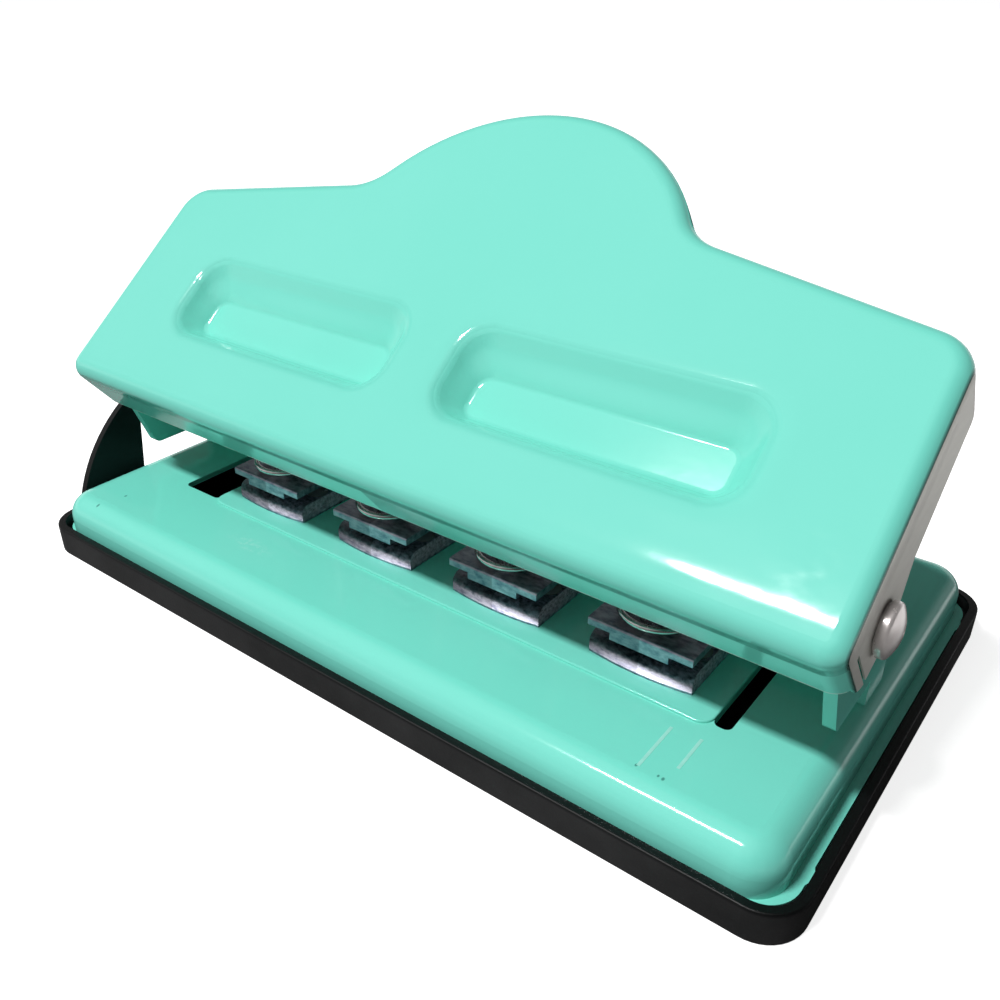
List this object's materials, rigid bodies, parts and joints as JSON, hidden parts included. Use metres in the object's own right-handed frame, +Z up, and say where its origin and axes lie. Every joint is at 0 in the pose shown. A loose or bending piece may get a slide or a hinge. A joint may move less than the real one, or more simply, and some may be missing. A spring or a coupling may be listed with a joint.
{
  "type": "disc binding punch",
  "caption": "Desk punch for disc binding: a raised steel palm handle on side rivets drives sprung mushroom punches in a folded base plate set in a black chip tray.",
  "frame": {"origin": "centre of the tray's underside, on the table", "axes": "+X to the right along the row of punches, +Y to the back, +Z up"},
  "size_m": [0.1452, 0.0794, 0.0746],
  "materials": {
    "black_plastic": "fine satin grain",
    "green_enamel": "gloss enamel",
    "zinc_plate": "bright zinc plate",
    "tool_steel": "ground",
    "spring_steel": "drawn wire, plated",
    "nickel_rivet": "nickel plate"
  },
  "bodies": {
    "tray": {"base_tray": "black_plastic"},
    "punch_base": {"base_plate": "green_enamel", "pivot_bracket": "green_enamel", "punch_frame_1": "zinc_plate", "die_plate_1": "zinc_plate", "paper_stop_1": "zinc_plate", "return_spring_1": "spring_steel", "punch_frame_2": "zinc_plate", "die_plate_2": "zinc_plate", "paper_stop_2": "zinc_plate", "return_spring_2": "spring_steel", "punch_frame_3": "zinc_plate", "die_plate_3": "zinc_plate", "paper_stop_3": "zinc_plate", "return_spring_3": "spring_steel", "punch_frame_4": "zinc_plate", "die_plate_4": "zinc_plate", "paper_stop_4": "zinc_plate", "return_spring_4": "spring_steel", "unit_rivets": "nickel_rivet", "bracket_rivets": "nickel_rivet", "pivot_rivet_left": "nickel_rivet", "pivot_rivet_right": "nickel_rivet", "pivot_washer_left": "nickel_rivet", "pivot_washer_right": "nickel_rivet"},
    "press_handle": {"handle": "green_enamel"},
    "punch_1": {"punch_pin_1": "tool_steel", "spring_seat_1": "zinc_plate", "retaining_clip_1": "spring_steel"},
    "punch_2": {"punch_pin_2": "tool_steel", "spring_seat_2": "zinc_plate", "retaining_clip_2": "spring_steel"},
    "punch_3": {"punch_pin_3": "tool_steel", "spring_seat_3": "zinc_plate", "retaining_clip_3": "spring_steel"},
    "punch_4": {"punch_pin_4": "tool_steel", "spring_seat_4": "zinc_plate", "retaining_clip_4": "spring_steel"}
  },
  "joints": [
    {"name": "base_lift", "type": "slide", "parent": "tray", "child": "punch_base", "axis": [0, 0, 1], "range_m": [0, 0.02]},
    {"name": "handle_press", "type": "hinge", "parent": "punch_base", "child": "press_handle", "pos_m": [0, -0.0181, 0.0317], "axis": [1, 0, 0], "range_deg": [-30, 0], "stiffness_Nm_per_rad": 0.22, "springref_deg": 22.92},
    {"name": "punch_1_travel", "type": "slide", "parent": "punch_base", "child": "punch_1", "axis": [0, 0, 1], "range_m": [-0.00385, 0], "deforming": ["return_spring_1"]},
    {"name": "punch_2_travel", "type": "slide", "parent": "punch_base", "child": "punch_2", "axis": [0, 0, 1], "range_m": [-0.00385, 0], "deforming": ["return_spring_2"]},
    {"name": "punch_3_travel", "type": "slide", "parent": "punch_base", "child": "punch_3", "axis": [0, 0, 1], "range_m": [-0.00385, 0], "deforming": ["return_spring_3"]},
    {"name": "punch_4_travel", "type": "slide", "parent": "punch_base", "child": "punch_4", "axis": [0, 0, 1], "range_m": [-0.00385, 0], "deforming": ["return_spring_4"]}
  ],
  "couplings": [
    {"joint": "punch_1_travel", "follows": "handle_press", "m_per_rad": 0.0073},
    {"joint": "punch_2_travel", "follows": "handle_press", "m_per_rad": 0.0073},
    {"joint": "punch_3_travel", "follows": "handle_press", "m_per_rad": 0.0073},
    {"joint": "punch_4_travel", "follows": "handle_press", "m_per_rad": 0.0073}
  ]
}
